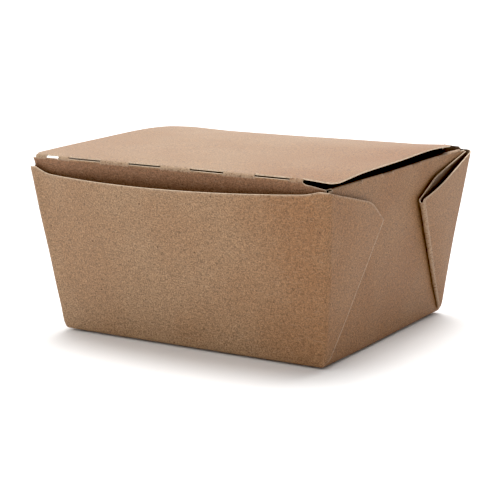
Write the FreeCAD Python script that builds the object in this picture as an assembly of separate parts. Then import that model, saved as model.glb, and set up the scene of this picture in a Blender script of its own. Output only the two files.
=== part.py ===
"""Folded kraft-board takeaway box with its lid closed.

One sheet makes the box: a flat base, four flared walls, a two-layer web folded flat against
the end wall at each corner, a dust flap turned in from each end wall, and a lid that hangs
from the back wall and tucks inside the front wall.

Millimetres, +Z up. X runs along the length, the front wall faces -Y. The origin is the
middle of the base, on the surface that the box stands on.
"""
import FreeCAD, Part
import math
import os

from FreeCAD import Vector

# Board
board = 0.45
layer_gap = 0.12
crease_radius = 0.65
square = 90.0
folded_flat = 180.0

# How far the shapes that cut the board reach past it
past = 2.0

# Base and walls, measured to the middle of the board
base_length = 111.0
base_width = 90.4
wall_height = 62.7
end_flare = 6.7
front_flare = 8.7
back_flare = 9.9
base_crease = 1.1
rim = 1.6

# Front wall: how far it bows out, and the scooped top edge
front_bow = 4.5
scoop_low = 59.5
scoop_left = 60.5
scoop_right = 61.3
scoop_shift = 10.0
ear_width = 8.0

# Corner webs
web_slope = 0.77
web_start = 0.6
web_corner_radius = 1.5
front_web_open = 0.8
front_web_gap = 0.3
front_web_shoulder = 28.4
front_web_shoulder_drop = 7.4
front_web_tip_drop = 15.2
back_web_open = 1.6
back_web_gap = 1.5
back_web_shoulder = 27.6
back_web_shoulder_drop = 9.3
back_web_tip_drop = 12.9
wall_lap = 2.4
fold_flats = 4
bend_flats = 5

# Dust flaps
dust_depth = 36.0
dust_half_width = 49.4
dust_taper = 7.0
dust_round = 6.0
dust_droop = 4.0
dust_dash = 15.0
dust_dash_pitch = 22.5
dust_dashes = 3

# Lid
lid_depth = 107.3
lid_half_width = 63.5
lid_shift = 1.4
lid_back_inset = 12.5
lid_back_taper = 20.0
lid_corner_round = 3.5
lid_rise = 16.0
knee_radius = 70.0
knee_angle = 9.0
crown_radius = 330.0
crown_angle = 7.0
front_fall = 1.7
lid_crease_radius = 1.0
hinge_gap = 0.3

# Tuck flap
tuck_depth = 16.0
tuck_lean = 9.0
tuck_left = 62.2
tuck_right = 60.0
tuck_neck = 51.4
shoulder_gap = 0.8
shoulder_fall = 2.2
tuck_taper = 6.0
tuck_round = 7.0

# Dashes cut through the creases
slit = 0.2
lid_dash = 14.0
lid_dash_pitch = 26.3
lid_dashes = 4


def half_length(z):
    """Middle of the board in an end wall, from the middle of the box, at height z."""
    return base_length / 2 + end_flare * z / wall_height


def half_width(side, z):
    """The same for the front wall (side -1) and the back wall (side 1)."""
    flare = back_flare if side > 0 else front_flare
    return base_width / 2 + flare * z / wall_height


hinge_y = half_width(1, wall_height)
hinge_z = wall_height
back_wall_top = hinge_z - board / 2 - hinge_gap
end_wall_top = wall_height


def edge(points):
    """A straight edge through two points or an arc through three."""
    if len(points) == 2:
        return Part.LineSegment(*points).toShape()
    return Part.Arc(*points).toShape()


class Strip:
    """Board seen on its edge: a middle line of straight runs and bends, and its thickness."""

    def __init__(self, start, heading):
        self.at = start
        self.heading = math.radians(heading)
        self.runs = []

    def side(self, which, heading=None, at=None):
        """The point half a board to the left (1) or right (-1) of the middle line."""
        angle = self.heading if heading is None else heading
        u, v = self.at if at is None else at
        return (u - which * math.sin(angle) * board / 2, v + which * math.cos(angle) * board / 2)

    def go(self, length):
        first = [self.side(1), self.side(-1)]
        u, v = self.at
        self.at = (u + length * math.cos(self.heading), v + length * math.sin(self.heading))
        self.runs.append([[first[0], self.side(1)], [first[1], self.side(-1)]])
        return self

    def turn(self, radius, angle, flats=0):
        """Bend through an angle in degrees, left where it is positive, round or in flats."""
        way = math.copysign(1, angle)
        u, v = self.at
        centre = (u - way * radius * math.sin(self.heading), v + way * radius * math.cos(self.heading))
        steps = flats or 2
        left = []
        right = []
        for step in range(steps + 1):
            heading = self.heading + math.radians(angle) * step / steps
            at = (centre[0] + way * radius * math.sin(heading), centre[1] - way * radius * math.cos(heading))
            left.append(self.side(1, heading, at))
            right.append(self.side(-1, heading, at))
        if flats:
            for step in range(flats):
                self.runs.append([left[step:step + 2], right[step:step + 2]])
        else:
            self.runs.append([left, right])
        self.heading += math.radians(angle)
        self.at = at
        return self

    def points(self, place):
        """The outline of a strip that has no round bends, as points."""
        left = [run[0][0] for run in self.runs] + [self.runs[-1][0][1]]
        right = [run[1][0] for run in self.runs] + [self.runs[-1][1][1]]
        return [place(*p) for p in left + right[::-1]]

    def wire(self, place, round_start=False):
        """The closed outline, with place(u, v) giving each point in the box."""
        left = [[place(*p) for p in run[0]] for run in self.runs]
        right = [[place(*p) for p in reversed(run[1])] for run in reversed(self.runs)]
        start_cap = [right[-1][-1], left[0][0]]
        if round_start:
            first_left, first_right = self.runs[0][0][0], self.runs[0][1][0]
            middle = ((first_left[0] + first_right[0]) / 2, (first_left[1] + first_right[1]) / 2)
            out = (-(first_left[1] - middle[1]), first_left[0] - middle[0])
            start_cap.insert(1, place(middle[0] + out[0], middle[1] + out[1]))
        edges = [edge(points) for points in left]
        edges.append(edge([left[-1][-1], right[0][0]]))
        edges += [edge(points) for points in right]
        edges.append(edge(start_cap))
        return Part.Wire(edges)


def flat_face(points):
    """The flat face inside a closed run of points."""
    return Part.Face(Part.makePolygon(points + points[:1]))


def between(lower, upper):
    """The solid from one outline of points up to another whose edges all run the same ways."""
    faces = [flat_face(lower[::-1]), flat_face(upper)]
    count = len(lower)
    for index in range(count):
        after = (index + 1) % count
        faces.append(flat_face([lower[index], lower[after], upper[after], upper[index]]))
    shell = Part.Shell(faces)
    shell.sewShape()
    solid = Part.Solid(shell)
    if solid.Volume < 0:
        solid.reverse()
    return solid


def rounded(points, radii, place):
    """A closed outline whose corner at each point has its own radius, 0 for a sharp one."""
    edges = []
    starts = []
    ends = []
    count = len(points)
    for index, (u, v) in enumerate(points):
        before = points[index - 1]
        after = points[(index + 1) % count]
        a = Vector(before[0] - u, before[1] - v, 0).normalize()
        b = Vector(after[0] - u, after[1] - v, 0).normalize()
        half = a.getAngle(b) / 2
        reach = radii[index] / math.tan(half)
        starts.append((u + a.x * reach, v + a.y * reach))
        ends.append((u + b.x * reach, v + b.y * reach))
        if radii[index]:
            middle = (a + b).normalize()
            away = radii[index] / math.sin(half) - radii[index]
            arc = [starts[-1], (u + middle.x * away, v + middle.y * away), ends[-1]]
            edges.append(edge([place(*p) for p in arc]))
    for index in range(count):
        line = [ends[index], starts[(index + 1) % count]]
        edges.append(edge([place(*p) for p in line]))
    return Part.Face(Part.Wire(Part.__sortEdges__(edges)))


def slab(face, run):
    """The solid that a flat face sweeps along run."""
    return face.extrude(run)


def frustum(offset, base_level):
    """The space inside the walls, its faces moved out by offset, from base_level up."""
    outlines = []
    for z in (base_level, wall_height):
        x = half_length(z) + offset
        front = -half_width(-1, z) - offset
        back = half_width(1, z) + offset
        outlines.append([Vector(-x, front, z), Vector(x, front, z), Vector(x, back, z),
                         Vector(-x, back, z)])
    return between(*outlines)


def base_pan():
    """The base and the first of each wall, with the creases between them rounded."""
    pan = None
    for offset, level, radius in ((board / 2, 0, base_crease), (-board / 2, board, base_crease - board)):
        body = frustum(offset, level)
        creases = [e for e in body.Edges if e.BoundBox.ZMax < level + board / 10]
        body = body.makeFillet(radius, creases)
        pan = body if pan is None else pan.cut(body)
    reach = 2 * half_length(wall_height)
    return pan.common(Part.makeBox(2 * reach, 2 * reach, rim, Vector(-reach, -reach, 0)))


def long_wall(side, top, bow):
    """The front (-1) or back (1) wall between its two corner webs, bowed out at the top."""
    outlines = []
    for z, out in ((rim, 0), (wall_height, bow)):
        x = half_length(z) - wall_lap
        points = []
        for offset in (-board / 2, board / 2):
            y = side * (half_width(side, z) + offset)
            bulge = side * (half_width(side, z) + offset + out)
            points.append([Vector(-x, y, z), Vector(0, bulge, z), Vector(x, y, z)])
        if not out:
            points = [[run[0], run[2]] for run in points]
        edges = [edge(run) for run in points]
        edges += [edge([points[0][end], points[1][end]]) for end in (0, -1)]
        outlines.append(Part.Wire(Part.__sortEdges__(edges)))
    return Part.makeLoft(outlines, True, True).common(top)


def front_scoop():
    """What the front wall keeps below its scooped top edge."""
    x = half_length(wall_height) + board
    depth = half_width(-1, wall_height) + 2 * front_bow
    inner = x - ear_width
    arc = edge([Vector(-inner, 0, scoop_left), Vector(-scoop_shift, 0, scoop_low),
                Vector(inner, 0, scoop_right)])
    outline = [arc,
               edge([Vector(inner, 0, scoop_right), Vector(x, 0, wall_height)]),
               edge([Vector(x, 0, wall_height), Vector(x, 0, 0)]),
               edge([Vector(x, 0, 0), Vector(-x, 0, 0)]),
               edge([Vector(-x, 0, 0), Vector(-x, 0, wall_height)]),
               edge([Vector(-x, 0, wall_height), Vector(-inner, 0, scoop_left)])]
    return slab(Part.Face(Part.Wire(outline)), Vector(0, -depth, 0))


def back_top():
    """What the back wall keeps: level under the lid's crease, with an ear beyond each end of it."""
    x = half_length(wall_height) + board
    depth = half_width(1, wall_height) + 2 * board
    left = lid_shift - lid_half_width + lid_back_inset - hinge_gap
    right = lid_shift + lid_half_width - lid_back_inset + hinge_gap
    outline = [(-x, 0), (x, 0), (x, wall_height), (right, wall_height), (right, back_wall_top),
               (left, back_wall_top), (left, wall_height), (-x, wall_height)]
    return slab(flat_face([Vector(u, 0, v) for u, v in outline]), Vector(0, depth, 0))


def end_wall(end):
    """The flat wall at the right (1) or left (-1) end, between its corner webs."""
    outlines = []
    for z in (rim, end_wall_top):
        x = half_length(z)
        front = -half_width(-1, z) + wall_lap
        back = half_width(1, z) - wall_lap
        corners = [(x - board / 2, front), (x + board / 2, front), (x + board / 2, back),
                   (x - board / 2, back)]
        outlines.append([Vector(end * u, v, z) for u, v in corners])
    return between(*outlines)


def web_outline(end, side, z, opening, gap):
    """The board at one height, from the end wall through the two layers of the web to the long wall.

    u runs in from the corner along the end wall and v out from the end wall. The web leans
    away from the end wall by the opening angle, with the gap between its two layers.
    """
    pitch = board + layer_gap
    nose = max(board + layer_gap + pitch / 2, web_corner_radius - pitch / 2)
    strip = Strip((wall_lap, 0), folded_flat)
    strip.go(wall_lap - nose)
    strip.turn(pitch / 2, opening - folded_flat, fold_flats)
    fold = web_slope * z + web_start
    strip.go((fold - nose) / math.cos(math.radians(opening)))
    strip.turn((board + gap) / 2, folded_flat, fold_flats)
    lean = math.radians(opening)
    bend = web_corner_radius
    back_run = strip.at[0] - bend * math.cos(lean) ** 2 + bend * (1 - math.sin(lean)) * math.sin(lean)
    strip.go(back_run / math.cos(lean))
    strip.turn(bend, square - opening, bend_flats)
    strip.go(strip.at[1] + wall_lap)

    def place(u, v):
        return Vector(end * (half_length(z) + v), side * (half_width(side, z) - u), z)

    return strip.points(place)


def corner_web(end, side):
    """Two layers of board folded flat outside the end wall, with their slanted top edges."""
    if side > 0:
        opening, gap = back_web_open, back_web_gap
        shoulder, shoulder_drop, tip_drop = back_web_shoulder, back_web_shoulder_drop, back_web_tip_drop
    else:
        opening, gap = front_web_open, front_web_gap
        shoulder, shoulder_drop, tip_drop = front_web_shoulder, front_web_shoulder_drop, front_web_tip_drop
    web = between(web_outline(end, side, rim, opening, layer_gap),
                  web_outline(end, side, wall_height, opening, gap))
    corner = half_width(side, wall_height)
    tip_height = wall_height - tip_drop
    tip = half_width(side, tip_height) - web_slope * tip_height - web_start
    top = wall_height + past
    outline = [(corner + past, wall_height), (corner, wall_height),
               (corner - shoulder, wall_height - shoulder_drop), (tip, tip_height),
               (tip - past, 0), (-past, 0), (-past, top), (corner + past, top)]
    points = [Vector(0, side * y, z) for y, z in outline]
    waste = slab(flat_face(points), Vector(end * base_length, 0, 0))
    return web.cut(waste)


def dust_flap(end):
    """The flap turned in from the top of an end wall, cut through in dashes along its crease."""
    x = half_length(end_wall_top)

    def fold():
        return Strip((x, end_wall_top), square)

    bend = fold().turn(crease_radius, square + dust_droop)
    root, heading = bend.at, math.degrees(bend.heading)
    flap = Strip(root, heading).go(dust_depth - crease_radius)
    stand = fold().go(crease_radius + board / 2)
    reach = root[0] - x + board / 2 + slit
    butt = Strip((root[0] - reach, root[1]), heading).go(reach + board)
    middle = (dust_dashes - 1) / 2
    starts = [(index - middle) * dust_dash_pitch - dust_dash / 2 for index in range(dust_dashes)]
    spans = [(-dust_half_width, starts[0], False)]
    for start in starts:
        spans.append((start, start + dust_dash, True))
        spans.append((start + dust_dash, start + dust_dash_pitch, False))
    spans[-1] = (spans[-1][0], dust_half_width, False)

    pieces = [(flap, -dust_half_width, dust_half_width)]
    for start, stop, is_cut in spans:
        if is_cut:
            pieces += [(stand, start, stop), (butt, start, stop)]
        else:
            pieces.append((bend, start, stop))
    solids = []
    for strip, start, stop in pieces:
        def place(u, v):
            return Vector(end * u, start, v)
        solids.append(slab(Part.Face(strip.wire(place)), Vector(0, stop - start, 0)))
    board_run = solids[0].multiFuse(solids[1:])

    def flat(u, v):
        return Vector(end * u, v, 0)

    inner = x - dust_depth
    narrow = dust_half_width - dust_taper
    wide = dust_half_width
    plan = rounded([(x + past, -wide), (x - dust_taper, -wide), (inner, -narrow), (inner, narrow),
                    (x - dust_taper, wide), (x + past, wide)],
                   [0, dust_round, dust_round, dust_round, dust_round, 0], flat)
    return board_run.common(slab(plan, Vector(0, 0, end_wall_top + crease_radius + past)))


def tray():
    """Base, walls, corner webs and dust flaps as one folded sheet."""
    pieces = [base_pan(), long_wall(-1, front_scoop(), front_bow), long_wall(1, back_top(), 0)]
    for end in (-1, 1):
        pieces.append(end_wall(end))
        pieces.append(dust_flap(end))
        for side in (-1, 1):
            pieces.append(corner_web(end, side))
    return pieces[0].multiFuse(pieces[1:])


def lid_strips():
    """The lid seen from its right end: u forward from the hinge, v up."""
    panel = Strip((0, hinge_z), lid_rise)
    panel.turn(knee_radius, -knee_angle)
    panel.turn(crown_radius, -crown_angle)
    panel_end = lid_depth - lid_crease_radius
    left = (panel_end - panel.at[0]) / math.cos(math.radians(front_fall / 2))
    panel.turn(left / math.radians(front_fall), -front_fall)
    root = panel.at
    heading = math.degrees(panel.heading)
    bend = Strip(root, heading).turn(lid_crease_radius, -square - tuck_lean - heading)
    flap = Strip(bend.at, math.degrees(bend.heading)).go(tuck_depth - lid_crease_radius)
    return panel, bend, flap


def lid():
    """Crowned lid panel with its front tuck flap, slit locks and dashed front crease."""
    panel, bend, flap = lid_strips()
    root = panel.at
    stand_reach = root[1] + board / 2 - bend.at[1]
    stand = Strip(flap_top(bend, stand_reach), math.degrees(bend.heading)).go(stand_reach + board)
    nose = Strip((root[0] - board, root[1]), math.degrees(panel.heading))
    nose.go(bend.at[0] - root[0] - board / 2 - slit + board)
    middle = (lid_dashes - 1) / 2
    starts = [(index - middle) * lid_dash_pitch - lid_dash / 2 for index in range(lid_dashes)]
    spans = [(-tuck_neck, starts[0], False)]
    for start in starts:
        spans.append((start, start + lid_dash, True))
        spans.append((start + lid_dash, start + lid_dash_pitch, False))
    spans[-1] = (spans[-1][0], tuck_neck, False)
    pieces = [(panel, -lid_half_width, lid_half_width), (flap, -tuck_left, tuck_right),
              (nose, -lid_half_width, -tuck_neck), (nose, tuck_neck, lid_half_width)]
    for start, stop, is_cut in spans:
        if is_cut:
            pieces += [(stand, start, stop), (nose, start, stop)]
        else:
            pieces.append((bend, start, stop))
    solids = []
    for strip, start, stop in pieces:
        def place(u, v):
            return Vector(start, hinge_y - u, v)
        outline = strip.wire(place, round_start=strip is panel)
        solids.append(slab(Part.Face(outline), Vector(stop - start, 0, 0)))
    sheet = solids[0].multiFuse(solids[1:])
    sheet = sheet.common(lid_plan()).cut(tuck_trim(bend, flap))
    sheet.translate(Vector(lid_shift, 0, 0))
    return sheet


def flap_top(bend, reach):
    """The point on the flap's middle line that lies reach above the end of the bend."""
    u, v = bend.at
    return (u - reach * math.cos(bend.heading), v - reach * math.sin(bend.heading))


def lid_plan():
    """The lid's outline from above, with rounded front corners and a narrower back."""
    front = hinge_y - lid_depth - board
    back = hinge_y + past
    shoulder = hinge_y - lid_back_taper
    narrow = lid_half_width - lid_back_inset

    def flat(u, v):
        return Vector(u, v, 0)

    wide = lid_half_width
    notch = hinge_y - 2 * board
    face = rounded([(-wide, front), (wide, front), (wide, shoulder), (narrow, notch), (narrow, back),
                    (-narrow, back), (-narrow, notch), (-wide, shoulder)],
                   [lid_corner_round, lid_corner_round, 0, 0, 0, 0, 0, 0], flat)
    return slab(face, Vector(0, 0, 2 * wall_height))


def tuck_trim(bend, flap):
    """What is cut off the tuck flap: a sloping shoulder at each side and a rounded, tapered end."""
    top = bend.at[1] + lid_crease_radius + past
    shoulder = bend.at[1] + lid_crease_radius - shoulder_gap
    low = flap.at[1]
    front = hinge_y - lid_depth - past
    depth = past + tuck_depth
    trims = []
    for end, half in ((-1, tuck_left), (1, tuck_right)):
        def place(u, v):
            return Vector(end * u, front, v)
        keep = rounded([(0, top), (tuck_neck, top), (tuck_neck, shoulder), (half, shoulder - shoulder_fall),
                        (half - tuck_taper, low - board), (0, low - board)],
                       [0, 0, 0, shoulder_fall / 2, tuck_round, 0], place)
        below_lid = bend.at[1] - board
        whole = rounded([(0, low - past), (lid_half_width, low - past), (lid_half_width, below_lid),
                         (tuck_neck, below_lid), (tuck_neck, top), (0, top)],
                        [0, 0, 0, 0, 0, 0], place)
        run = Vector(0, depth, 0)
        trims.append(slab(whole, run).cut(slab(keep, run)))
    return trims[0].fuse(trims[1])


os.makedirs("parts", exist_ok=True)
for name, solid in (("tray", tray()), ("lid", lid())):
    print(name, solid.isValid(), len(solid.Solids), round(solid.Volume, 1), solid.BoundBox)
    solid.exportStep("parts/" + name + ".step")
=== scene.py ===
import math

import bpy
import numpy as np
from mathutils import Matrix, Vector, noise


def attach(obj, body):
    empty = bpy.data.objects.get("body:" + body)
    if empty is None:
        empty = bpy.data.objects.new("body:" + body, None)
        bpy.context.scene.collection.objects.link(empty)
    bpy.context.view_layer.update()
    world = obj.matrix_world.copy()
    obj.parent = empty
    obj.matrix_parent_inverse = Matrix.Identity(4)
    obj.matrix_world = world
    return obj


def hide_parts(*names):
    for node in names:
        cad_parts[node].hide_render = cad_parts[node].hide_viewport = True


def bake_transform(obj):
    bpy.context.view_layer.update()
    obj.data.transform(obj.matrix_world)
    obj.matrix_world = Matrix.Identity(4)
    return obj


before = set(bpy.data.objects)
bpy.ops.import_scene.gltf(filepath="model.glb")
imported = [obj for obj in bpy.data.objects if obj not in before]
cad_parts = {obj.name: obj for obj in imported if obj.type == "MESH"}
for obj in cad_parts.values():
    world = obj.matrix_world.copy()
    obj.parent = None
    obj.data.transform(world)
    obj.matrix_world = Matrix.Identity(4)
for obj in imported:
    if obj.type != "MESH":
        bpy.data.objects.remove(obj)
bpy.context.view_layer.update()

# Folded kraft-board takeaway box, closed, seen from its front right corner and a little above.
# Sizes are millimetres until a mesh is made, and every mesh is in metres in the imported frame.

MM = 0.001
tiny = 1e-6

# The board's unevenness comes from noise, which differs on each run unless it has a seed
unevenness_seed = 11
noise.seed_set(unevenness_seed)
wide_wave = 0.5
wide_wave_size = 38.0
wide_wave_shift = 3.1
fine_wave = 0.14
fine_wave_size = 15.0
fine_wave_shift = 7.7
wave_height = 12.0
sideways_share = 0.8
upward_share = 0.3

# Where this one box stands in, and (start, length) of the stretch over which that grows
back_right_in = 1.15
back_right_across = (20.0, 40.0)
back_right_along = (-25.0, 75.0)
left_end_in = 0.75
left_end_height = 50.0

# Board and creases
board = 0.45
layer_gap = 0.12
base_crease = 0.9
base_lift = 0.7
lift_height = 20.0
lift_power = 8

# Base and walls, to the middle of the board
base_length = 111.0
base_width = 90.4
wall_height = 62.7
end_flare = 6.7
front_flare = 8.7
back_flare = 9.9

# Front wall: its bow, and its scooped top edge with a rise to each corner
front_bow = 4.5
bow_flatten = 0.7
bow_power = 8
scoop_low = 59.4
scoop_left = 60.4
scoop_right = 61.3
scoop_shift = 10.0
ear_width = 7.0
ear_curve = 1.6

# Back wall: the ear beyond each end of the lid's crease
ear_step = 0.2
ear_height = 0.9
ear_slope = 4.0
right_ear = 0.35
right_ear_reach = 5.0

# Corner webs, front (-1) and back (1)
web_slope = 0.77
web_start = 0.6
web_open = {-1: 0.8, 1: 1.6}
web_gap = {-1: 0.3, 1: 1.5}
web_bulge = {-1: 0.55, 1: 0.8}
corner_sharp = 0.8
corner_soft = 2.6
wall_lap = 2.4
corner_settle = 3.0
fold_band = 0.5
soften_rate = 1.6
swell_rate = 1.3

# Each web layer's top edge: how far in its shoulder is, and how low the shoulder and the tip are
web_edge = {(-1, "inner"): (28.4, 7.4, 15.2), (-1, "outer"): (28.4, 7.4, 15.2),
            (1, "inner"): (29.0, 6.2, 12.9), (1, "outer"): (27.6, 9.3, 12.9)}

# How worn the board is at its folds and edges, from 0 to 1; the same weight also paints a highlight
# along them
faint_wear_and_highlight = 0.1
light_wear_and_highlight = 0.3
half_wear_and_highlight = 0.5
lip_wear_and_highlight = 0.6
fold_wear_and_highlight = 0.8
edge_wear_and_highlight = 0.95
wear_and_highlight_reach = 1.6

# Dust flaps
dust_depth = 36.0
dust_crease = 0.5
dust_half_width = 49.4
dust_taper = 7.0
dust_round = 6.0
dust_dip = 16.0
dust_dip_run = 6.0
dust_dip_radius = 25.0
dust_level = 1.0
dust_lip = 0.02
dust_dash = 15.0
dust_dash_pitch = 22.5
dust_dashes = 3

# Lid and tuck flap
lid_depth = 107.3
lid_half_width = 63.5
lid_shift = 1.4
lid_back_inset = 12.5
lid_back_taper = 20.0
lid_corner_round = 3.5
lid_rise = 16.0
knee_radius = 70.0
knee_angle = 9.0
crown_radius = 330.0
crown_angle = 7.0
front_fall = 1.7
lid_crease = 1.0
back_crease = 1.2
tuck_depth = 16.0
tuck_lean = 9.0
tuck_left = 62.2
tuck_right = 60.0
tuck_neck = 51.4
left_lock = 58.0
shoulder_gap = 0.5
shoulder_fall = 0.7
tuck_hold = 4.5
tuck_notch = 0.5
tuck_taper = 6.0
tuck_round = 7.0
slit = 0.2
edge_drop = 0.7
lock_rise = 0.3
tuck_round_share = 0.6
side_band = 8.0
panel_gap = 0.3
lid_dash = 14.0
lid_dash_pitch = 26.3
lid_dashes = 4

# Set of this one lid, and (start, length) of the stretches over which it grows
lid_tilt = 0.35
corner_drop = 0.7
corner_drop_across = (50.0, 13.5)
corner_drop_forward = (0.8, 0.2)
edge_lift = 0.7
edge_lift_across = (40.0, 23.0)
edge_lift_rise = (0.0, 0.12)
edge_lift_fall = (0.2, 0.4)

# How finely each part is divided
wall_rows = 44
crease_rows = 5
wall_columns = 112
end_columns = 64
layer_columns = 12
fold_columns = 8
bend_columns = 8
dip_rows = 4
dust_rows = 14
knee_rows = 12
crown_rows = 24
front_rows = 36
front_crease_rows = 6
back_crease_rows = 8
tuck_rows = 16
shoulder_columns = 8
side_columns = 11
keep_share = 0.45
halvings = 30


def clamp(value, low=0.0, high=1.0):
    return max(low, min(high, value))


def smooth(value):
    t = clamp(value)
    return t * t * (3 - 2 * t)


def mix(a, b, share):
    return a + (b - a) * share


def ramp(value, stretch):
    """0 before a stretch of (start, length), 1 after it and a smooth rise along it."""
    start, length = stretch
    return smooth((value - start) / length)


def within(values, low, high):
    """The values from low to high, both ends included."""
    return [v for v in values if low - tiny <= v <= high + tiny]


def corner_cut(radius, left):
    """How far a rounded corner stands in where this much is left before the end."""
    if left >= radius:
        return 0.0
    return radius - math.sqrt(max(radius ** 2 - (radius - left) ** 2, 0))


def spaced(low, high, count, keep=()):
    """Even steps from low to high that also land on each value in keep."""
    step = (high - low) / count
    kept = sorted(k for k in keep if low + tiny < k < high - tiny)
    values = [low + step * i for i in range(count + 1)]
    inner = [v for v in values[1:-1] if all(abs(v - k) > keep_share * step for k in kept)]
    return [low] + sorted(inner + kept) + [high]


# Middle surface of the tray


def half_length(z):
    return base_length / 2 + end_flare * z / wall_height


def half_width(side, z):
    flare = back_flare if side > 0 else front_flare
    return base_width / 2 + flare * z / wall_height


hinge_y = half_width(1, wall_height)
crease_start = wall_height - back_crease


def crease_inset(z):
    """How far the walls stand in from their planes where they curve into the base."""
    rise = (z - board / 2) / base_crease
    if rise >= 1:
        return 0.0
    return base_crease * (1 - math.sin(math.acos(clamp(1 - rise))))


def settle(z):
    """0 at the base corner, where every layer meets, and 1 above it."""
    return smooth((z - board / 2) / corner_settle)


def in_tray(end, side, z, u, v):
    """The point u in from a corner along the end wall and v out from the end wall."""
    inset = crease_inset(z)
    return (end * (half_length(z) - inset + v), side * (half_width(side, z) - inset - u), z)


class Line:
    """A middle line of straight runs and bends, as points with a fold weight each."""

    def __init__(self, start, heading):
        self.at = start
        self.heading = math.radians(heading)
        self.points = [(start[0], start[1], 0.0)]

    def go(self, length, steps=1, weight=0.0, bulge=0.0):
        u, v = self.at
        for step in range(1, steps + 1):
            reach = length * step / steps
            out = bulge * math.sin(math.pi * step / steps)
            self.points.append((u + reach * math.cos(self.heading),
                                v + reach * math.sin(self.heading) + out, weight))
        self.at = self.points[-1][:2]
        return self

    def turn(self, radius, angle, steps, weight=1.0):
        way = math.copysign(1, angle)
        u, v = self.at
        cu = u - way * radius * math.sin(self.heading)
        cv = v + way * radius * math.cos(self.heading)
        for step in range(1, steps + 1):
            heading = self.heading + math.radians(angle) * step / steps
            self.points.append((cu + way * radius * math.sin(heading),
                                cv - way * radius * math.cos(heading), weight))
        self.heading += math.radians(angle)
        self.at = self.points[-1][:2]
        return self


def web_section(side, z):
    """The board at one height from the end wall, through both web layers, to the long wall."""
    small = settle(z)
    rise = z / wall_height
    pitch = (board + layer_gap) * small
    spread = (board + mix(layer_gap, web_gap[side], rise)) * small
    radius = mix(corner_sharp, corner_soft, smooth(soften_rate * rise)) * small
    opening = web_open[side]
    lean = math.radians(opening)
    nose = max((board + layer_gap) * small + pitch / 2, radius - pitch / 2)
    lap = wall_lap * small
    near = fold_band * small
    fold = web_slope * z + web_start * small
    swell = web_bulge[side] * small * smooth(swell_rate * rise)
    line = Line((lap, 0), 180)
    line.go(lap - nose, 2)
    line.turn(pitch / 2, opening - 180, fold_columns, light_wear_and_highlight)
    line.go((fold - nose) / math.cos(lean) - 2 * near, layer_columns, 0.0, 0.5 * swell)
    line.go(near, 1, faint_wear_and_highlight).go(near, 1, lip_wear_and_highlight)
    line.turn(spread / 2, 180, fold_columns)
    line.go(near, 1, fold_wear_and_highlight).go(near, 1, faint_wear_and_highlight)
    run = line.at[0] - radius * math.cos(lean) ** 2 + radius * (1 - math.sin(lean)) * math.sin(lean)
    line.go(run / math.cos(lean), layer_columns, 0.0, swell)
    line.turn(radius, 90 - opening, bend_columns, mix(half_wear_and_highlight, 0.0, smooth(2 * rise)))
    line.go(line.at[1] + lap, 2)
    return line.points


fold_middle = 2 + fold_columns + layer_columns + 2 + fold_columns // 2


def web_cut(side, layer, y):
    """Height of a web layer's slanted top edge at y, measured outwards from the middle of the box."""
    inward, shoulder_drop, tip_drop = web_edge[side, layer]
    corner = half_width(side, wall_height)
    tip_height = wall_height - tip_drop
    tip = half_width(side, tip_height) - web_slope * tip_height - web_start
    shoulder = corner - inward
    if y >= corner:
        return wall_height
    if y >= shoulder:
        return wall_height - shoulder_drop * (corner - y) / inward
    if y >= tip:
        return mix(tip_height, wall_height - shoulder_drop, (y - tip) / (shoulder - tip))
    return tip_height - (tip - y) * tip_height / (2 * board)


def web_tops(side):
    """The height at which each column of a web is cut off."""
    tops = []
    for column in range(len(web_section(side, wall_height))):
        layer = "inner" if column <= fold_middle else "outer"
        low, high = wall_height / 2, wall_height
        for _ in range(halvings):
            z = (low + high) / 2
            y = half_width(side, z) - web_section(side, z)[column][0]
            if web_cut(side, layer, y) > z:
                low = z
            else:
                high = z
        tops.append(high)
    return tops


def scoop(x):
    """Height of the front wall's top edge at x."""
    reach = half_length(wall_height) - wall_lap
    inner = reach - ear_width
    limit = clamp(x, -inner, inner)
    if limit < -scoop_shift:
        z = scoop_low + (scoop_left - scoop_low) * ((limit + scoop_shift) / (inner - scoop_shift)) ** 2
    else:
        z = scoop_low + (scoop_right - scoop_low) * ((limit + scoop_shift) / (inner + scoop_shift)) ** 2
    ear = clamp((abs(x) - inner) / ear_width)
    return mix(z, wall_height, ear ** ear_curve)


def back_top(x):
    """Height of the back wall's top edge: level at the lid's crease, with an ear at each end."""
    beyond = abs(x - lid_shift) - lid_half_width + lid_back_inset
    ear = wall_height + ear_height * smooth((half_length(wall_height) - abs(x)) / ear_slope)
    if x > 0:
        ear += right_ear * (1 - smooth(beyond / right_ear_reach))
    return mix(crease_start, ear, smooth(beyond / ear_step))


def heights(top):
    """The heights of the points in one column of a wall, from the base up."""
    low = [board / 2 + base_crease * (1 - math.cos(math.pi / 2 * i / crease_rows))
           for i in range(crease_rows + 1)]
    start = low[-1]
    return low + [mix(start, top, i / wall_rows) for i in range(1, wall_rows + 1)]


# Material slots of the board; the inside and the tuck flap's face get materials painted darker as shade
outside, inside, raw_edge, flap_side = range(4)


class Sheet:
    """The whole box as one welded middle surface, which gets its thickness at the end."""

    def __init__(self):
        self.points = []
        self.folds = []
        self.faces = []
        self.parts = []
        self.part = None
        self.faced = []
        self.face_kind = outside
        self.index = {}

    def vertex(self, point, fold):
        key = tuple(round(c, 5) for c in point)
        if key not in self.index:
            self.index[key] = len(self.points)
            self.points.append(point)
            self.folds.append(fold)
        number = self.index[key]
        self.folds[number] = max(self.folds[number], fold)
        return number

    def grid(self, lines):
        """Faces between neighbouring lines of (point, fold weight)."""
        numbers = [[self.vertex(*item) for item in line] for line in lines]
        for first, second in zip(numbers, numbers[1:]):
            for corners in zip(first, first[1:], second[1:], second):
                face = [n for i, n in enumerate(corners) if n not in corners[:i]]
                if len(face) > 2:
                    self.faces.append(face)
                    self.parts.append(self.part)
                    self.faced.append(self.face_kind)


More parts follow.
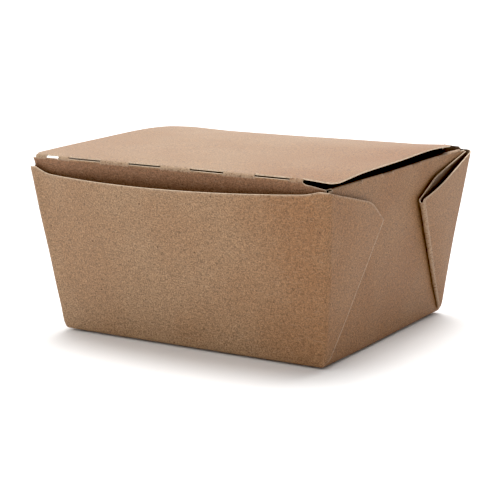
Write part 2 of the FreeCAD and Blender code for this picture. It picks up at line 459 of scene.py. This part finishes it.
def lid_marks():
    """Where the lid's columns have to be, from the lid's middle."""
    marks = [span[0] for span in lid_spans()] + [tuck_neck]
    crease = lid_half_width - lid_back_inset
    return marks + [-crease - ear_step, -crease, crease, crease + ear_step]


def front_columns():
    """Columns of the front and back walls as shares of the way to each end."""
    reach = half_length(crease_start) - wall_lap
    return spaced(-1, 1, wall_columns, [(x + lid_shift) / reach for x in lid_marks()])


def end_wall_reach(z):
    """The front and back limits of the flat part of an end wall at height z."""
    inset = crease_inset(z)
    lap = wall_lap * settle(z)
    return -(half_width(-1, z) - inset - lap), half_width(1, z) - inset - lap


def dashed(half, count, pitch, dash):
    """(start, stop, cut through) for each stretch of a crease with dashes cut through it."""
    spans = []
    at = -half
    for i in range(count):
        start = (i - (count - 1) / 2) * pitch - dash / 2
        spans += [(at, start, False), (start, start + dash, True)]
        at = start + dash
    return spans + [(at, half, False)]


def dust_spans():
    return dashed(dust_half_width, dust_dashes, dust_dash_pitch, dust_dash)


def lid_spans():
    return dashed(tuck_neck, lid_dashes, lid_dash_pitch, lid_dash)


def end_wall_columns():
    front, back = end_wall_reach(wall_height)
    marks = [span[0] for span in dust_spans()] + [dust_half_width]
    return spaced(0, 1, end_columns, [(y - front) / (back - front) for y in marks])


def base_fold(z):
    """Fold weight of a point that far up a wall, for the crease round the base."""
    return half_wear_and_highlight * (1 - smooth((z - board / 2) / (wear_and_highlight_reach * base_crease)))


def add_tray(sheet):
    across = front_columns()
    along = end_wall_columns()
    level = board / 2
    reach = half_length(level) - crease_inset(level)
    front, back = end_wall_reach(level)
    sheet.grid([[((f * reach, mix(front, back, g), level), 0.0) for g in along] for f in across])
    for side in (-1, 1):
        add_long_wall(sheet, side, across)
        tops = web_tops(side)
        for end in (-1, 1):
            add_web(sheet, end, side, tops)
    for end in (-1, 1):
        add_end_wall(sheet, end, along)
        add_dust_flap(sheet, end, along)


def wall_x(f, z):
    return f * (half_length(z) - crease_inset(z) - wall_lap * settle(z))


def wall_bow(f, z):
    """How far the front wall bows out at share f of the way to an end and height z."""
    return front_bow * (1 - f ** 2) * (1 - bow_flatten * f ** bow_power) * z / wall_height


def add_long_wall(sheet, side, across):
    columns = []
    for f in across:
        top = scoop(wall_x(f, wall_height)) if side < 0 else back_top(wall_x(f, crease_start))
        if abs(f) == 1:
            top = wall_height
        column = []
        for z in heights(top):
            bow = wall_bow(f, z) if side < 0 else 0.0
            y = side * (half_width(side, z) - crease_inset(z) + bow)
            column.append(((wall_x(f, z), y, z), base_fold(z)))
        columns.append(column)
    sheet.grid(columns)


def add_web(sheet, end, side, tops):
    columns = []
    for number, top in enumerate(tops):
        column = []
        for z in heights(top):
            u, v, fold = web_section(side, z)[number] if z > board / 2 else (0.0, 0.0, 0.0)
            column.append((in_tray(end, side, z, u, v), max(fold, base_fold(z))))
        columns.append(column)
    sheet.grid(columns)


def add_end_wall(sheet, end, along):
    columns = []
    for g in along:
        column = []
        for z in heights(wall_height):
            front, back = end_wall_reach(z)
            x = end * (half_length(z) - crease_inset(z))
            column.append(((x, mix(front, back, g), z), base_fold(z)))
        columns.append(column)
    sheet.grid(columns)


def dust_width(distance):
    """Half the dust flap's width at a distance in from the end wall."""
    taper = clamp((distance - dust_taper) / (dust_depth - dust_taper))
    width = dust_half_width - dust_taper * taper
    return width - corner_cut(dust_round, dust_depth - distance)


def add_dust_flap(sheet, end, along):
    front, back = end_wall_reach(wall_height)
    x = half_length(wall_height)
    bend = Line((x, wall_height), 90).turn(dust_crease, 90 + dust_dip, crease_rows)
    flap = Line(bend.at, 180 + dust_dip).go(dust_dip_run, dip_rows)
    flap.turn(dust_dip_radius, dust_level - dust_dip, dip_rows, 0.0)
    flap.go(flap.at[0] - (x - dust_depth), dust_rows)
    rise = dust_crease + board / 2

    def column(y, is_cut):
        lip = [(x - board / 2 - slit, bend.at[1] + dust_lip, lip_wear_and_highlight)]
        points = (lip if is_cut else bend.points[:-1]) + flap.points
        return [((end * u, y * dust_width(max(x - u, 0)) / dust_half_width, v), fold)
                for u, v, fold in points]

    for start, stop, is_cut in dust_spans():
        across = within([mix(front, back, g) for g in along], start, stop)
        sheet.grid([column(y, is_cut) for y in across])
        if is_cut:
            sheet.grid([[((end * x, y, wall_height + rise * s), 0.0) for s in (0, 0.5, 1)]
                        for y in across])


# Middle surface of the lid


def lid_lines():
    """The lid's middle line from the hinge to the front crease, and the bend of that crease."""
    panel = Line((0, wall_height), lid_rise)
    panel.turn(knee_radius, -knee_angle, knee_rows, 0.0)
    panel.turn(crown_radius, -crown_angle, crown_rows, 0.0)
    end = lid_depth - lid_crease
    left = (end - panel.at[0]) / math.cos(math.radians(front_fall / 2))
    panel.turn(left / math.radians(front_fall), -front_fall, front_rows, 0.0)
    heading = math.degrees(panel.heading)
    bend = Line(panel.at, heading)
    bend.turn(lid_crease, -90 - tuck_lean - heading, front_crease_rows, fold_wear_and_highlight)
    return panel, bend


def lid_start():
    """Where the lid panel begins, just forward of the crease: (u, v) on its first slope."""
    slope = math.radians(lid_rise)
    return back_crease * math.cos(slope), wall_height + back_crease * math.sin(slope)


def lid_edge(distance):
    """Half the lid's width at a distance forward from the hinge."""
    width = lid_half_width
    if distance < lid_back_taper:
        width -= lid_back_inset * (1 - distance / lid_back_taper)
    return width - corner_cut(lid_corner_round, lid_depth - board / 2 - distance)


def lid_x(x, distance):
    """Where a column of the lid lies at a distance from the hinge, inside its outline."""
    inner = lid_half_width - lid_back_inset
    if abs(x) <= inner:
        return x
    share = (abs(x) - inner) / (lid_half_width - inner)
    return math.copysign(mix(inner, lid_edge(distance), share), x)


def lid_point(x, u, v):
    """A point of the lid, lower towards its front right corner and lifted at its back edges."""
    forward = clamp(u / lid_depth)
    tilt = -lid_tilt * x / lid_half_width * forward
    corner = -corner_drop * ramp(x, corner_drop_across) * ramp(forward, corner_drop_forward)
    lift = edge_lift * ramp(abs(x), edge_lift_across) * ramp(forward, edge_lift_rise)
    lift *= 1 - ramp(forward, edge_lift_fall)
    return (x + lid_shift, hinge_y - u, v + tilt + corner + lift)


def lid_columns():
    """The back wall's columns across the crease, and more out to each side edge."""
    crease = lid_half_width - lid_back_inset
    middle = within([wall_x(f, crease_start) - lid_shift for f in front_columns()], -crease, crease)
    side = spaced(crease, lid_half_width, side_columns, [tuck_neck, left_lock])[1:]
    return [-x for x in side[::-1]] + middle + side


def add_back_crease(sheet):
    crease = lid_half_width - lid_back_inset
    lean = math.atan2(back_flare, wall_height)
    start_u, start_v = hinge_y - half_width(1, crease_start), crease_start
    turned = 90 + math.degrees(lean) - lid_rise
    reach = math.hypot(start_u, start_v - wall_height)
    bend = Line((start_u, start_v), 90 + math.degrees(lean))
    bend.turn(reach / math.tan(math.radians(turned / 2)), -turned, back_crease_rows, half_wear_and_highlight)
    end_u, end_v = lid_start()
    last_u, last_v, _ = bend.points[-1]
    points = []
    for number, (u, v, fold) in enumerate(bend.points):
        share = number / (len(bend.points) - 1)
        points.append((u + (end_u - last_u) * share, v + (end_v - last_v) * share, fold))
    sheet.grid([[((x + lid_shift, hinge_y - u, v), fold) for u, v, fold in points]
                for x in within(lid_columns(), -crease, crease)])


def add_lid(sheet):
    panel, bend = lid_lines()
    columns = lid_columns()
    top = panel.at
    nose_u = bend.at[0] - board / 2 - slit
    start = lid_start()
    path = [start] + [(u, v) for u, v, _ in panel.points if u > start[0] + panel_gap]
    sheet.grid([[(lid_point(lid_x(x, u), u, v), 0.0) for u, v in path] for x in columns])
    rise = top[1] - edge_drop - bend.at[1]
    back_u = rise * math.tan(math.radians(tuck_lean))
    for first, last, is_cut in lid_spans():
        across = within(columns, first, last)
        if is_cut:
            sheet.grid([[(lid_point(x, bend.at[0] + back_u * s, bend.at[1] + rise * s), 0.0)
                         for s in (0, 0.5, 1)] for x in across])
            sheet.grid([[(lid_point(x, *top), 0.0), (lid_point(x, nose_u, top[1]), lip_wear_and_highlight)]
                        for x in across])
        else:
            sheet.grid([[(lid_point(x, u, v), fold) for u, v, fold in bend.points] for x in across])
    nose = ((top[0], 0.0), (nose_u, light_wear_and_highlight))
    for low, high in ((-left_lock, -tuck_neck), (tuck_neck, lid_half_width)):
        sheet.grid([[(lid_point(lid_x(x, u), u, top[1]), fold) for u, fold in nose]
                    for x in within(columns, low, high)])
    sheet.grid([[(lid_point(lid_x(x, min(u, top[0])), u, v), fold) for u, v, fold in bend.points]
                for x in within(columns, -lid_half_width, -left_lock)])
    add_tuck_flap(sheet, columns, bend)


def add_tuck_flap(sheet, columns, bend):
    """The flap below the front crease, with a lowered shoulder at the right slit lock."""
    straight = tuck_depth - lid_crease
    lean = math.radians(tuck_lean)
    band = tuck_neck - side_band

    def column(x, start, half):
        points = []
        for step in range(tuck_rows + 1):
            down = mix(start, straight, step / tuck_rows)
            width = half - tuck_taper * clamp((down - tuck_hold) / (straight - tuck_hold))
            if x < 0:
                width -= tuck_notch * math.sin(math.pi * clamp(down / tuck_hold))
            width -= tuck_round_share * corner_cut(tuck_round, straight - down)
            side = abs(x)
            if side > band:
                side = mix(band, width, (side - tuck_neck + side_band) / (half - tuck_neck + side_band))
            side = math.copysign(side, x) if step else x
            u = bend.at[0] - down * math.sin(lean)
            points.append((lid_point(side, u, bend.at[1] - down), 0.0))
        return points

    def shoulder(x):
        share = (x - tuck_neck) / (tuck_right - tuck_neck)
        return shoulder_gap * smooth(x - tuck_neck) + shoulder_fall * share

    def slit_start(x):
        """A little up, apart from the two welded columns at the ends of the left slit."""
        return -lock_rise if tuck_neck + tiny < -x < left_lock - tiny else 0.0

    # The flap's outer face takes a material painted darker, as painted shade
    sheet.face_kind = flap_side
    sheet.grid([column(x, 0.0, tuck_left if x < 0 else tuck_right)
                for x in within(columns, -tuck_neck, tuck_neck)])
    sheet.grid([column(x, shoulder(x), tuck_right)
                for x in spaced(tuck_neck, tuck_right, shoulder_columns)])
    sheet.grid([column(x, slit_start(x), tuck_left) for x in within(columns, -left_lock, -tuck_neck)])
    sheet.grid([column(x, 0.0, tuck_left) for x in within(columns, -lid_half_width, -left_lock)])


def curl_noise(point, size, shift):
    """A smooth shift that neighbouring layers of board share."""
    return noise.noise_vector(Vector(point) / size + Vector((shift, 2.0 * shift, 3.0 * shift)))


def deform(point):
    """Gentle unevenness of the folded board."""
    x, y, z = point
    wave = curl_noise(point, wide_wave_size, wide_wave_shift) * wide_wave
    wave += curl_noise(point, fine_wave_size, fine_wave_shift) * fine_wave
    amount = smooth(z / wave_height)
    out_x = clamp(abs(x) / (base_length / 2))
    out_y = clamp(abs(y) / (base_width / 2))
    x -= back_right_in * ramp(x, back_right_across) * ramp(y, back_right_along)
    if x < 0:
        x += left_end_in * out_x * (1 - smooth(z / left_end_height))
    low = 1 - smooth(z / lift_height)
    z += base_lift * low * (1 - (1 - out_x ** lift_power) * (1 - out_y ** lift_power))
    return (x + wave.x * amount * sideways_share, y + wave.y * amount * sideways_share,
            z + wave.z * amount * upward_share)


def oriented(faces):
    """The faces turned so that neighbours run the same way round."""
    by_edge = {}
    for number, face in enumerate(faces):
        for a, b in zip(face, face[1:] + face[:1]):
            by_edge.setdefault((min(a, b), max(a, b)), []).append(number)
    done = [False] * len(faces)
    turned = [list(face) for face in faces]
    for seed in range(len(faces)):
        queue = [] if done[seed] else [seed]
        done[seed] = True
        while queue:
            face = turned[queue.pop()]
            for a, b in zip(face, face[1:] + face[:1]):
                for other in by_edge[(min(a, b), max(a, b))]:
                    if done[other]:
                        continue
                    done[other] = True
                    run = turned[other]
                    if (a, b) in zip(run, run[1:] + run[:1]):
                        turned[other] = run[::-1]
                    queue.append(other)
    return turned


def board_pieces(sheet, names):
    """Gives the sheet its thickness and makes an object of each named part of it."""
    points = np.array([deform(p) for p in sheet.points])
    faces = oriented(sheet.faces)
    normals = np.zeros_like(points)
    for face in faces:
        corners = points[face]
        normals[face] += np.cross(corners[1:-1] - corners[0], corners[2:] - corners[0]).sum(axis=0)
    normals /= np.maximum(np.linalg.norm(normals, axis=1), 1e-12)[:, None]
    middle = np.argmin(np.linalg.norm(points - np.array((0, -half_width(-1, 30), 30)), axis=1))
    if normals[middle][1] > 0:
        normals = -normals
        faces = [face[::-1] for face in faces]
    edges = {}
    for number, face in enumerate(faces):
        for a, b in zip(face, face[1:] + face[:1]):
            edges.setdefault((min(a, b), max(a, b)), []).append((a, b, number))
    made = []
    for number in {n for uses in edges.values() if len(uses) == 1 for n in uses[0][:2]}:
        sheet.folds[number] = max(sheet.folds[number], edge_wear_and_highlight)
    for part, name in names.items():
        mine = [(face, kind) for face, kind, owner in zip(faces, sheet.faced, sheet.parts)
                if owner == part]
        rim = [uses[0][:2] for uses in edges.values()
               if len(uses) == 1 and sheet.parts[uses[0][2]] == part]
        made.append(board_mesh(name, points, normals, mine, rim, sheet.folds))
    return made


def board_mesh(name, points, normals, faces, rim, folds):
    faces, kinds = zip(*faces)
    used = sorted({number for face in faces for number in face})
    place = {number: i for i, number in enumerate(used)}
    count = len(used)
    middle, out = points[used], normals[used] * board / 2
    outer = [[place[n] for n in face] for face in faces]
    inner = [[n + count for n in face[::-1]] for face in outer]
    rim = [(place[a], place[b]) for a, b in rim]
    rims = [[b, a, a + count, b + count] for a, b in rim]
    mesh = bpy.data.meshes.new(name)
    vertices = np.concatenate([middle + out, middle - out]) * MM
    mesh.from_pydata([tuple(v) for v in vertices], [], outer + inner + rims)
    material = list(kinds) + [inside] * len(inner) + [raw_edge] * len(rims)
    mesh.polygons.foreach_set("material_index", material)
    mesh.polygons.foreach_set("use_smooth", [True] * len(material))
    crisp = {(min(a, b), max(a, b)) for a, b in rim}
    crisp |= {(a + count, b + count) for a, b in crisp}
    for edge in mesh.edges:
        edge.use_edge_sharp = tuple(sorted(edge.vertices)) in crisp
    fold = mesh.attributes.new("fold", "FLOAT", "POINT")
    fold.data.foreach_set("value", np.array([folds[n] for n in used] * 2, np.float32))
    mesh.update()
    piece = bpy.data.objects.new(name, mesh)
    bpy.context.scene.collection.objects.link(piece)
    return piece


# Materials


class Value:
    """A socket, or a number, that arithmetic turns into Math nodes."""

    def __init__(self, shader, socket):
        self.shader = shader
        self.socket = socket

    def math(self, operation, *others):
        return self.shader.node("ShaderNodeMath", {"operation": operation},
                                dict(enumerate((self,) + others)))

    def __add__(self, other):
        return self.math("ADD", other)

    def __sub__(self, other):
        return self.math("SUBTRACT", other)

    def __mul__(self, other):
        return self.math("MULTIPLY", other)

    def __rsub__(self, other):
        return self.shader.node("ShaderNodeMath", {"operation": "SUBTRACT"}, {0: other, 1: self})

    __radd__ = __add__
    __rmul__ = __mul__

    def above(self, low, high):
        """0 below low, 1 above high, and a smooth rise between them."""
        return self.shader.node("ShaderNodeMapRange", {"interpolation_type": "SMOOTHSTEP"},
                                {"Value": self, "From Min": low, "From Max": high})


class Shader:
    """One material, or the studio round the box, and its nodes."""

    def __init__(self, name, store=None):
        self.material = (bpy.data.materials if store is None else store).new(name)
        self.material.use_nodes = True
        self.tree = self.material.node_tree
        self.tree.nodes.clear()

    def node(self, kind, settings=None, sockets=None, output=0):
        made = self.tree.nodes.new(kind)
        for key, value in (settings or {}).items():
            if key == "stops":
                elements = made.color_ramp.elements
                while len(elements) < len(value):
                    elements.new(0.5)
                for element, (place, colour) in zip(elements, value):
                    element.position = place
                    element.color = (*colour, 1)
            else:
                setattr(made, key, value)
        for key, value in (sockets or {}).items():
            if isinstance(value, Value):
                self.tree.links.new(value.socket, made.inputs[key])
            else:
                made.inputs[key].default_value = value
        return Value(self, made.outputs[output])

    def noise(self, where, scale, detail=2.0, roughness=0.5):
        return self.node("ShaderNodeTexNoise", {"noise_dimensions": "3D"},
                         {"Vector": where, "Scale": scale, "Detail": detail, "Roughness": roughness})

    def millimetres(self):
        """The place on the piece, in millimetres."""
        where = self.node("ShaderNodeTexCoord", output=3)
        return self.node("ShaderNodeVectorMath", {"operation": "SCALE"}, {0: where, "Scale": 1 / MM})

    def blend(self, share, first, second):
        """A colour mix; first and second are colours or colour sockets."""
        return self.node("ShaderNodeMix", {"data_type": "RGBA"},
                         {0: share, 6: first, 7: second}, output=2)

    def finish(self, colour, roughness, normal):
        surface = self.node("ShaderNodeBsdfPrincipled", None,
                            {"Base Color": colour, "Roughness": roughness, "Normal": normal,
                             "Specular IOR Level": board_specular})
        return self.output(surface)

    def output(self, surface, kind="ShaderNodeOutputMaterial"):
        made = self.tree.nodes.new(kind)
        self.tree.links.new(surface.socket, made.inputs["Surface"])
        return self.material


def rgba(red, green, blue):
    return (red, green, blue, 1.0)


# The board's pattern: scales in repeats per millimetre, and the bump in metres
cloud_scale = 0.035
mottle_scale = 1.1
grain_scale = 2.2
fleck_scale = 0.2
edge_scale = 1.8
fibre_stretch = (0.3, 2.6, 2.6)
fibre_turns = ((0.3, 0.2, 0.5), (1.2, 0.9, 2.0), (2.1, 1.9, 0.9))
bump_depth = 0.0001
board_specular = 0.32

# The stretch of the box, in millimetres from its middle, over which the board is painted darker and
# redder: painted shade on its right end, the side away from the light
right_shade_from = 10.0
right_shade_to = 62.0

pale_fibre = rgba(0.42, 0.30, 0.20)
dark_fibre = rgba(0.13, 0.07, 0.04)
fleck_brown = rgba(0.06, 0.025, 0.015)
# Paler board for wear, which also serves as a painted highlight at folds and edges
wear_and_highlight_colour = rgba(0.44, 0.33, 0.235)
# The raw edge's own paler colour, raised further as a painted highlight
edge_and_highlight_stops = [(0.3, (0.44, 0.315, 0.213)), (0.7, (0.71, 0.575, 0.44))]


def kraft(name, body, tone_and_shade):
    """Uncoated kraft board: cloudy and finely speckled, with fibres and a few flecks, painted shade
    towards its right end, and wear that also paints a highlight at folds and edges.
    """
    shader = Shader(name)
    mm = shader.millimetres()
    cloud = shader.noise(mm, cloud_scale, 3.0)
    mottle = shader.noise(mm, mottle_scale, 2.0, 0.6)
    grain = shader.noise(mm, grain_scale, 2.0, 0.6)
    along = shader.node("ShaderNodeSeparateXYZ", None, {"Vector": mm})
    # Random cloudy tone, plus painted shade that darkens and reddens the board towards its right end
    tone_and_shade_share = cloud.above(0.35, 0.65) * 0.3 + along.above(right_shade_from, right_shade_to) * 0.7
    colour = shader.blend(tone_and_shade_share, body, tone_and_shade)
    tone = (mottle - 0.5) * 0.7 + (grain - 0.5) * 1.9 + 1.0
    colour = shader.node("ShaderNodeVectorMath", {"operation": "SCALE"}, {0: colour, "Scale": tone})
    fibres = []
    for number, turn in enumerate(fibre_turns):
        laid = shader.node("ShaderNodeMapping", None,
                           {"Vector": mm, "Location": (7.0 * number, 3.0, 1.0), "Rotation": turn,
                            "Scale": fibre_stretch})
        fibres.append(shader.noise(laid, 1.0, 1.0).above(0.62, 0.74))
    light_fibre = fibres[0].math("MAXIMUM", fibres[1])
    colour = shader.blend(light_fibre * 0.22, colour, pale_fibre)
    colour = shader.blend(fibres[2] * 0.22, colour, dark_fibre)
    cells = {"Vector": mm, "Scale": fleck_scale}
    spots = shader.node("ShaderNodeTexVoronoi", {"feature": "F1"}, cells)
    pick = shader.node("ShaderNodeTexVoronoi", {"feature": "F1"}, cells, output=1)
    pick = shader.node("ShaderNodeSeparateColor", None, {"Color": pick})
    fleck = (1 - spots.above(0.04, 0.10)) * pick.above(0.62, 0.64)
    colour = shader.blend(fleck * 0.75, colour, fleck_brown)
    # Paler board at folds and raw edges: partly wear, partly a painted highlight along them
    fold = shader.node("ShaderNodeAttribute", {"attribute_name": "fold"}, output=2)
    wear_and_highlight = fold.above(0.3, 1.0) * mottle.above(0.3, 0.55)
    colour = shader.blend(wear_and_highlight * 0.5, colour, wear_and_highlight_colour)
    height = grain * 0.5 + mottle * 0.5 + light_fibre * 0.3
    bump = shader.node("ShaderNodeBump", None,
                       {"Strength": 0.6, "Distance": bump_depth, "Height": height})
    rough = (mottle - 0.5) * 0.3 + 0.62
    return shader.finish(colour, rough, bump)


def cut_edge(name):
    """The raw edge of the board: paler and mottled, and paler still as a painted highlight along the
    edges.
    """
    shader = Shader(name)
    mottle = shader.noise(shader.millimetres(), edge_scale, 3.0, 0.6)
    colour = shader.node("ShaderNodeValToRGB", {"stops": edge_and_highlight_stops}, {"Fac": mottle})
    bump = shader.node("ShaderNodeBump", None,
                       {"Strength": 0.5, "Distance": bump_depth, "Height": mottle})
    return shader.finish(colour, mottle * 0.1 + 0.85, bump)


# The second colour of each is the darker tone, used both for the random clouds and for the painted
# shade towards the right end
kraft_outside = kraft("kraft_outside", rgba(0.304, 0.190, 0.109), rgba(0.250, 0.126, 0.058))
# Painted shade: the tuck flap's outer face is coloured darker than the rest of the board, for the shade
# it lies in below the lid's front crease
flap_painted_shade = kraft("flap_painted_shade", rgba(0.242, 0.124, 0.067), rgba(0.234, 0.120, 0.065))
# Painted shade: the board's inner face is coloured nearly black, for the shade inside the box and
# between the web layers
inside_painted_shade = kraft("inside_painted_shade", rgba(0.094, 0.051, 0.027), rgba(0.086, 0.045, 0.023))
# Raw edges: paler than the board, and paler still as a painted highlight
raw_edge_and_highlight = cut_edge("raw_edge_and_highlight")


def folded_box():
    sheet = Sheet()
    sheet.part = "tray"
    add_tray(sheet)
    sheet.part = "crease"
    add_back_crease(sheet)
    sheet.part = "lid"
    add_lid(sheet)
    names = {"tray": "tray_board", "crease": "back_crease", "lid": "lid_board"}
    tray, crease, lid = board_pieces(sheet, names)
    for piece in (tray, crease, lid):
        for material in (kraft_outside, inside_painted_shade, raw_edge_and_highlight, flap_painted_shade):
            piece.data.materials.append(material)
    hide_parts("tray")
    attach(tray, "tray")
    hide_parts("lid")
    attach(lid, "lid")
    end_u, end_v = lid_start()
    start = Vector((0, half_width(1, crease_start), crease_start)) * MM
    end = Vector((0, hinge_y - end_u, end_v)) * MM
    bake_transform(crease)


folded_box()


# Floor, light and camera


def studio_floor():
    mesh = bpy.data.meshes.new("floor")
    reach = 8.0
    corners = [(-reach, -reach, 0), (reach, -reach, 0), (reach, reach, 0), (-reach, reach, 0)]
    mesh.from_pydata(corners, [], [(0, 1, 2, 3)])
    floor = bpy.data.objects.new("floor", mesh)
    bpy.context.scene.collection.objects.link(floor)
    shader = Shader("white_floor")
    surface = shader.node("ShaderNodeBsdfPrincipled", None,
                          {"Base Color": rgba(0.93, 0.925, 0.92), "Roughness": 0.9,
                           "Specular IOR Level": 0.1})
    mesh.materials.append(shader.output(surface))


backdrop_way = (-0.53, 0.83, 0.17)
side_way = (-0.40, -0.90, 0.15)
backdrop_light = 1.55
side_light = 0.6
all_round_light = 0.32


def studio_light():
    shader = Shader("studio", bpy.data.worlds)
    way = shader.node("ShaderNodeTexCoord", output=0)
    behind, beside = (shader.node("ShaderNodeVectorMath", {"operation": "DOT_PRODUCT"},
                                  {0: way, 1: towards}, output=1)
                      for towards in (backdrop_way, side_way))
    strength = behind.above(0.1, 0.9) * backdrop_light + beside.above(-0.2, 0.9) * side_light
    glow = shader.node("ShaderNodeBackground", None,
                       {"Color": rgba(1.0, 1.0, 1.0), "Strength": strength + all_round_light})
    bpy.context.scene.world = shader.output(glow, "ShaderNodeOutputWorld")
    soft = bpy.data.lights.new("overhead", "SUN")
    soft.energy = 2.5
    soft.angle = math.radians(34)
    lamp = bpy.data.objects.new("overhead", soft)
    lamp.rotation_euler = (math.radians(-11), math.radians(-4), 0)
    bpy.context.scene.collection.objects.link(lamp)
    view = bpy.context.scene.view_settings
    view.view_transform = "Standard"
    view.use_curve_mapping = True
    view.curve_mapping.black_level = (0.015, 0.015, 0.015)


def photo_camera():
    """The camera that was fitted to the corners of the box in the photograph."""
    azimuth, elevation, roll = (math.radians(a) for a in (32.79, 11.89, -0.90))
    distance, across, up = 598.5, -2.15, 27.03
    focal_pixels, photo_pixels, sensor = 1575.2, 500, 36.0
    back = Vector((math.sin(azimuth) * math.cos(elevation), -math.cos(azimuth) * math.cos(elevation),
                   math.sin(elevation)))
    level = Vector((math.cos(azimuth), math.sin(azimuth), 0))
    upright = back.cross(level)
    right = math.cos(roll) * level + math.sin(roll) * upright
    top = math.cos(roll) * upright - math.sin(roll) * level
    data = bpy.data.cameras.new("camera")
    data.sensor_width = sensor
    data.lens = sensor * focal_pixels / photo_pixels
    data.clip_end = 100
    camera = bpy.data.objects.new("camera", data)
    place = (back * distance + right * across + top * up) * MM
    camera.matrix_world = Matrix.Translation(place) @ Matrix((right, top, back)).transposed().to_4x4()
    bpy.context.scene.collection.objects.link(camera)
    bpy.context.scene.camera = camera


studio_floor()
studio_light()
photo_camera()
